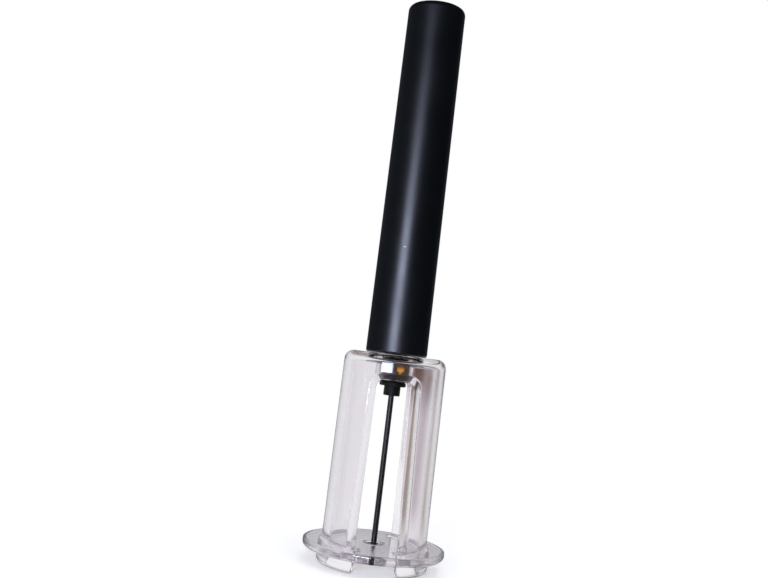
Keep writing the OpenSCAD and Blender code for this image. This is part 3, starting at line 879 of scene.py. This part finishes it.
# %% Floor paper
SMOOTH = {"interpolation_type": "SMOOTHSTEP"}
RISING = {"To Min": 0.0, "To Max": 1.0}
FALLING = {"To Min": 1.0, "To Max": 0.0}
PURE_WHITE = (1, 1, 1, 1)
MIRRORED_FLOOR = (0.09, 0.10, 0.12, 1)
PAPER_GLOW = 0.36
floor_side = 3
under_feet = 0.05 * mm
bpy.ops.object.select_all(action="DESELECT")
bpy.ops.mesh.primitive_plane_add(size=floor_side, location=(0, 0, -under_feet))
floor = bpy.context.object
floor.name = "floor"
floor_paper, tree, ground = new_material("floor_paper")
path = add(tree, "ShaderNodeLightPath")
fibre = add(tree, "ShaderNodeTexNoise", {"Scale": per_mm(3), "Detail": 3}, {"Vector": ground})
paper = add(
    tree, "ShaderNodeMix", {"data_type": "RGBA", 6: linear("#f4f4f4"), 7: linear("#f7f7f7")},
    {0: fibre.outputs["Fac"]},
)
dimmed = add(
    tree, "ShaderNodeMix", {"data_type": "RGBA", 7: MIRRORED_FLOOR},
    {0: path.outputs["Is Glossy Ray"], 6: paper.outputs[2]},
)
matte = add(tree, "ShaderNodeBsdfDiffuse", (), {"Color": dimmed.outputs[2]})
seen = add(
    tree, "ShaderNodeMath", {"operation": "MAXIMUM"},
    {0: path.outputs["Is Camera Ray"], 1: path.outputs["Is Transmission Ray"]},
)
lift = add(
    tree, "ShaderNodeMath", {"operation": "MULTIPLY", 1: PAPER_GLOW}, {0: seen.outputs[0]}
)
glow = add(
    tree, "ShaderNodeEmission", {"Color": PURE_WHITE}, {"Strength": lift.outputs[0]}
)
near_paper = add(tree, "ShaderNodeAddShader", (), {0: matte.outputs[0], 1: glow.outputs[0]})
print("floor:", floor_side, "m wide")

# %% [markdown]
# Clear plastic, and far from the tool the camera too, sees a plain tone in place of the paper.
# Straight through plastic that tone is white, as the background is. Light that was mirrored inside
# a thick edge comes from all sides, and finds the pale sheet near the tool, a brown floor on the
# side of the room, and the tool's own shade right under it. Those tones draw the greys in the
# clear edges. A white floor all round would leave the edges without any drawing.

# %% Plain tones of the floor
SHEET_SIDE = (-0.75, 0.66, 0)
SHEET_EDGE = {"From Min": -0.45, "From Max": 0.15, **RISING, **SMOOTH}
SHEET_WHITE = linear("#f8f8f9")
FLOOR_BROWN = linear("#a5978f")
TOOL_SHADE = (0.10, 0.10, 0.12, 1)
from_axis = add(tree, "ShaderNodeVectorMath", {"operation": "LENGTH"}, {0: ground})
away = add(
    tree, "ShaderNodeMapRange", {"From Min": 40 * mm, "From Max": 220 * mm, **RISING},
    {"Value": from_axis.outputs["Value"]},
)
far_floor = add(
    tree, "ShaderNodeMath", {"operation": "MULTIPLY"},
    {0: away.outputs[0], 1: path.outputs["Is Camera Ray"]},
)
blank = add(
    tree, "ShaderNodeMath", {"operation": "MAXIMUM"},
    {0: far_floor.outputs[0], 1: path.outputs["Is Transmission Ray"]},
)
aim = add(tree, "ShaderNodeVectorMath", {"operation": "NORMALIZE"}, {0: ground})
lean = add(
    tree, "ShaderNodeVectorMath", {"operation": "DOT_PRODUCT", 1: SHEET_SIDE}, {0: aim.outputs[0]}
)
lit_side = add(tree, "ShaderNodeMapRange", SHEET_EDGE, {"Value": lean.outputs["Value"]})
near_tool = add(
    tree, "ShaderNodeMapRange",
    {"From Min": 70 * mm, "From Max": 160 * mm, "To Min": 0.7, "To Max": 0.0},
    {"Value": from_axis.outputs["Value"]},
)
lit = add(
    tree, "ShaderNodeMath", {"operation": "MAXIMUM"},
    {0: lit_side.outputs[0], 1: near_tool.outputs[0]},
)
room_tone = add(
    tree, "ShaderNodeMix", {"data_type": "RGBA", 6: FLOOR_BROWN, 7: SHEET_WHITE},
    {0: lit.outputs[0]},
)
clear_of_tool = add(
    tree, "ShaderNodeMapRange", {"From Min": 16 * mm, "From Max": 34 * mm, **RISING},
    {"Value": from_axis.outputs["Value"]},
)
shaded = add(
    tree, "ShaderNodeMix", {"data_type": "RGBA", 6: TOOL_SHADE},
    {0: clear_of_tool.outputs[0], 7: room_tone.outputs[2]},
)
print("tones of the floor:", [round(v, 2) for v in SHEET_WHITE[:3]], "and", TOOL_SHADE[:3])

# %% [markdown]
# Light Path counts how often a ray was mirrored, which tells the two ways apart. One mix then
# chooses between the paper near the tool and the plain tone.

# %% Floor shader
MIRRORED_ONCE = 0.5
straight = add(
    tree, "ShaderNodeMath", {"operation": "LESS_THAN", 1: MIRRORED_ONCE},
    {0: path.outputs["Glossy Depth"]},
)
tone = add(
    tree, "ShaderNodeMix", {"data_type": "RGBA", 7: PURE_WHITE},
    {0: straight.outputs[0], 6: shaded.outputs[2]},
)
plain = add(tree, "ShaderNodeEmission", {"Strength": 1.0}, {"Color": tone.outputs[2]})
mixed = add(
    tree, "ShaderNodeMixShader", (),
    {0: blank.outputs[0], 1: near_paper.outputs[0], 2: plain.outputs[0]},
)
add(tree, "ShaderNodeOutputMaterial", (), {"Surface": mixed.outputs[0]})
floor.data.materials.append(floor_paper)
print("floor nodes:", len(tree.nodes))

# %% [markdown]
# ## A brown card behind the right wing
# The right wing shows a lilac-grey that turns brown beside the socket, as clear plastic does when
# something brown stands behind it. A card behind the tool gives that. Only rays that come out of
# clear plastic see it, and it fades towards all its borders, so that no edge of it shows.

# %% Card and its brown
card_at = (23 * mm, 48 * mm, 41 * mm)
card_width, card_height = 42 * mm, 78 * mm
brown_from, brown_full = 48 * mm, 68 * mm
bpy.ops.object.select_all(action="DESELECT")
bpy.ops.mesh.primitive_plane_add(size=1, location=card_at, rotation=(quarter_turn, 0, 0))
card = bpy.context.object
card.name = "brown_card"
card.scale = (card_width, card_height, 1)
bpy.ops.object.transform_apply(location=True, rotation=True, scale=True)
card_paper, tree, on_card = new_material("brown_card_paper")
spread = add(tree, "ShaderNodeSeparateXYZ", (), {0: on_card})
upward = add(
    tree, "ShaderNodeMapRange",
    {"From Min": brown_from, "From Max": brown_full, **RISING, **SMOOTH},
    {"Value": spread.outputs["Z"]},
)
socket_side = add(
    tree, "ShaderNodeMapRange",
    {"From Min": 18 * mm, "From Max": 24 * mm, "To Min": 1.0, "To Max": 0.6, **SMOOTH},
    {"Value": spread.outputs["X"]},
)
browned = add(
    tree, "ShaderNodeMath", {"operation": "MULTIPLY"},
    {0: upward.outputs[0], 1: socket_side.outputs[0]},
)
tone = add(
    tree, "ShaderNodeMix", {"data_type": "RGBA", 6: linear("#d4cbce"), 7: linear("#5a3216")},
    {0: browned.outputs[0]},
)
colour = add(tree, "ShaderNodeEmission", {"Strength": 1.0}, {"Color": tone.outputs[2]})
print("card:", card.name, "brown above", round(brown_from / mm), "mm")

# %% [markdown]
# The card fades in from its inner side and its foot, and out towards its outer side. That side
# leans out by 3 mm where the card is brown, as the tool does in the picture.

# %% Fades of the card
card_lean = 3 * mm
inner_side = add(
    tree, "ShaderNodeMapRange", {"From Min": 3 * mm, "From Max": 10 * mm, **RISING, **SMOOTH},
    {"Value": spread.outputs["X"]},
)
leant = add(
    tree, "ShaderNodeMath", {"operation": "MULTIPLY_ADD", 1: -card_lean},
    {0: upward.outputs[0], 2: spread.outputs["X"]},
)
outer_side = add(
    tree, "ShaderNodeMapRange", {"From Min": 25 * mm, "From Max": 37 * mm, **FALLING, **SMOOTH},
    {"Value": leant.outputs[0]},
)
foot = add(
    tree, "ShaderNodeMapRange", {"From Min": 2 * mm, "From Max": 18 * mm, **RISING, **SMOOTH},
    {"Value": spread.outputs["Z"]},
)
across = add(
    tree, "ShaderNodeMath", {"operation": "MULTIPLY"},
    {0: inner_side.outputs[0], 1: outer_side.outputs[0]},
)
cover = add(
    tree, "ShaderNodeMath", {"operation": "MULTIPLY"}, {0: across.outputs[0], 1: foot.outputs[0]}
)
path = add(tree, "ShaderNodeLightPath")
shown = add(
    tree, "ShaderNodeMath", {"operation": "MULTIPLY"},
    {0: cover.outputs[0], 1: path.outputs["Is Transmission Ray"]},
)
nothing = add(tree, "ShaderNodeBsdfTransparent")
faded = add(
    tree, "ShaderNodeMixShader", (),
    {0: shown.outputs[0], 1: nothing.outputs[0], 2: colour.outputs[0]},
)
add(tree, "ShaderNodeOutputMaterial", (), {"Surface": faded.outputs[0]})
card.data.materials.append(card_paper)
print("card nodes:", len(tree.nodes))

# %% [markdown]
# ## The background
# The world is light without a picture in it. Where clear plastic mirrors it, it has a white sheet
# on one side of the tool and a brown room on the other, a dark ceiling in front, and one warm
# patch that makes the small brass plug golden. The sheet's edge is the same as on the floor.

# %% Background that clear plastic mirrors
ROOM_BROWN = linear("#5b4a40")
WARM_SIDE = (0.64, -0.768, 0)
WARM_PATCH = (2.0, 1.7, 1.3, 1)
DARK_CEILING = (0.06, 0.06, 0.075, 1)
world = bpy.data.worlds.new("studio")
bpy.context.scene.world = world
world.use_nodes = True
tree = world.node_tree
tree.nodes.clear()
way = add(tree, "ShaderNodeTexCoord").outputs["Generated"]
path = add(tree, "ShaderNodeLightPath")
behind = add(tree, "ShaderNodeVectorMath", {"operation": "DOT_PRODUCT", 1: SHEET_SIDE}, {0: way})
sheet = add(tree, "ShaderNodeMapRange", SHEET_EDGE, {"Value": behind.outputs["Value"]})
beyond = add(
    tree, "ShaderNodeMix", {"data_type": "RGBA", 6: ROOM_BROWN, 7: SHEET_WHITE},
    {0: sheet.outputs[0]},
)
front = add(tree, "ShaderNodeVectorMath", {"operation": "DOT_PRODUCT", 1: WARM_SIDE}, {0: way})
patch = add(
    tree, "ShaderNodeMapRange", {"From Min": 0.985, "From Max": 0.995, **RISING},
    {"Value": front.outputs["Value"]},
)
warm = add(
    tree, "ShaderNodeMix", {"data_type": "RGBA", 7: WARM_PATCH},
    {0: patch.outputs[0], 6: beyond.outputs[2]},
)
height = add(tree, "ShaderNodeSeparateXYZ", (), {0: way})
overhead = add(
    tree, "ShaderNodeMapRange", {"From Min": 0.12, "From Max": 0.42, **RISING, **SMOOTH},
    {"Value": height.outputs["Z"]},
)
in_front = add(
    tree, "ShaderNodeMapRange", {"From Min": 0.1, "From Max": -0.3, **RISING},
    {"Value": height.outputs["Y"]},
)
ceiling = add(
    tree, "ShaderNodeMath", {"operation": "MULTIPLY"},
    {0: overhead.outputs[0], 1: in_front.outputs[0]},
)
through = add(
    tree, "ShaderNodeMix", {"data_type": "RGBA", 7: DARK_CEILING},
    {0: ceiling.outputs[0], 6: warm.outputs[2]},
)
print("room beyond the sheet:", [round(v, 2) for v in ROOM_BROWN[:3]])

# %% [markdown]
# A black satin handle shows its surroundings more than its own colour. The real one mirrors one
# window and little else, so what metal and satin plastic mirror of the background is dim, and
# dimmer still high up and on the side of the room. A white one turns the handle's sides grey.

# %% Background that metal and satin plastic mirror
DIM_SHEET = (0.07, 0.08, 0.10, 1)
DIM_ROOM = (0.008, 0.011, 0.016, 1)
DIM_CEILING = (0.01, 0.012, 0.016, 1)
mirrored = add(
    tree, "ShaderNodeMix", {"data_type": "RGBA", 6: DIM_ROOM, 7: DIM_SHEET},
    {0: sheet.outputs[0]},
)
aloft = add(
    tree, "ShaderNodeMapRange", {"From Min": 0.34, "From Max": 0.55, **RISING},
    {"Value": height.outputs["Z"]},
)
mirrored_room = add(
    tree, "ShaderNodeMix", {"data_type": "RGBA", 7: DIM_CEILING},
    {0: aloft.outputs[0], 6: mirrored.outputs[2]},
)
print("dim sheet:", DIM_SHEET[:3])

# %% [markdown]
# Everything else is lit by a plain grey world, which fills the shadows. The camera, and light that
# goes straight through clear plastic, see pure white.

# %% Background for light, plastic and camera
FILL_GREY = (0.5, 0.5, 0.52, 1)
room = add(
    tree, "ShaderNodeMix", {"data_type": "RGBA", 6: FILL_GREY},
    {0: path.outputs["Is Glossy Ray"], 7: mirrored_room.outputs[2]},
)
once_mirrored = add(
    tree, "ShaderNodeMath", {"operation": "GREATER_THAN", 1: MIRRORED_ONCE},
    {0: path.outputs["Glossy Depth"]},
)
in_plastic = add(
    tree, "ShaderNodeMix", {"data_type": "RGBA", 6: PURE_WHITE},
    {0: once_mirrored.outputs[0], 7: through.outputs[2]},
)
clear = add(
    tree, "ShaderNodeMix", {"data_type": "RGBA"},
    {0: path.outputs["Is Transmission Ray"], 6: room.outputs[2], 7: in_plastic.outputs[2]},
)
white = add(
    tree, "ShaderNodeMix", {"data_type": "RGBA", 7: PURE_WHITE},
    {0: path.outputs["Is Camera Ray"], 6: clear.outputs[2]},
)
light = add(tree, "ShaderNodeBackground", {"Strength": 1.0}, {"Color": white.outputs[2]})
add(tree, "ShaderNodeOutputWorld", (), {"Surface": light.outputs[0]})
print("world nodes:", len(tree.nodes))

# %% [markdown]
# ## Lamps
# The handle's streak is the image of a cool window in front, a little to the left, so one soft box
# stands there. A weaker one from above lights the floor and gives the tool its faint shadow. Clear
# plastic shows neither, because their small bright images would speckle it, and the one from above
# isn't mirrored, because its image on the holder's shoulder would hide the nut.

# %% Lamps
def area_lamp(name, azimuth, elevation, distance, width, height, watts, colour, aim_z):
    """A soft box at an azimuth (0 is in front, 90 at the right), aimed at a height on the axis."""
    a, e = math.radians(azimuth), math.radians(elevation)
    aim = Vector((0, 0, aim_z * mm))
    way_out = Vector((math.sin(a) * math.cos(e), -math.cos(a) * math.cos(e), math.sin(e)))
    bpy.ops.object.light_add(type="AREA", location=aim + way_out * distance)
    lamp = bpy.context.object
    lamp.name = name
    lamp.rotation_euler = way_out.to_track_quat("Z", "Y").to_euler()
    lamp.data.shape = "RECTANGLE"
    lamp.data.size = width
    lamp.data.size_y = height
    lamp.data.energy = watts
    lamp.data.color = linear(colour)[:3]
    lamp.visible_transmission = False
    return lamp


window_light = area_lamp(
    "window_light", azimuth=-20.5, elevation=0, distance=0.9, width=0.40, height=0.30,
    watts=8.4, colour="#d9e2ff", aim_z=82,
)
top_light = area_lamp(
    "top_light", azimuth=10, elevation=70, distance=1.0, width=0.7, height=0.7,
    watts=3.0, colour="#ffffff", aim_z=100,
)
top_light.visible_glossy = False
print("lamps:", window_light.name, top_light.name)

# %% [markdown]
# ## How light is followed
# Colours are shown as they are, without a film look. Light that enters clear plastic is mirrored
# many times inside before it leaves. Blender counts each of those as a glossy bounce and stops
# after four, which turns thick clear edges black, so the limits are raised.

# %% View and light bounces
bpy.context.scene.view_settings.view_transform = "Standard"
paths = bpy.context.scene.cycles
paths.max_bounces = 32
paths.glossy_bounces = 24
paths.transmission_bounces = 24
print("bounces:", paths.max_bounces, "of which glossy:", paths.glossy_bounces)
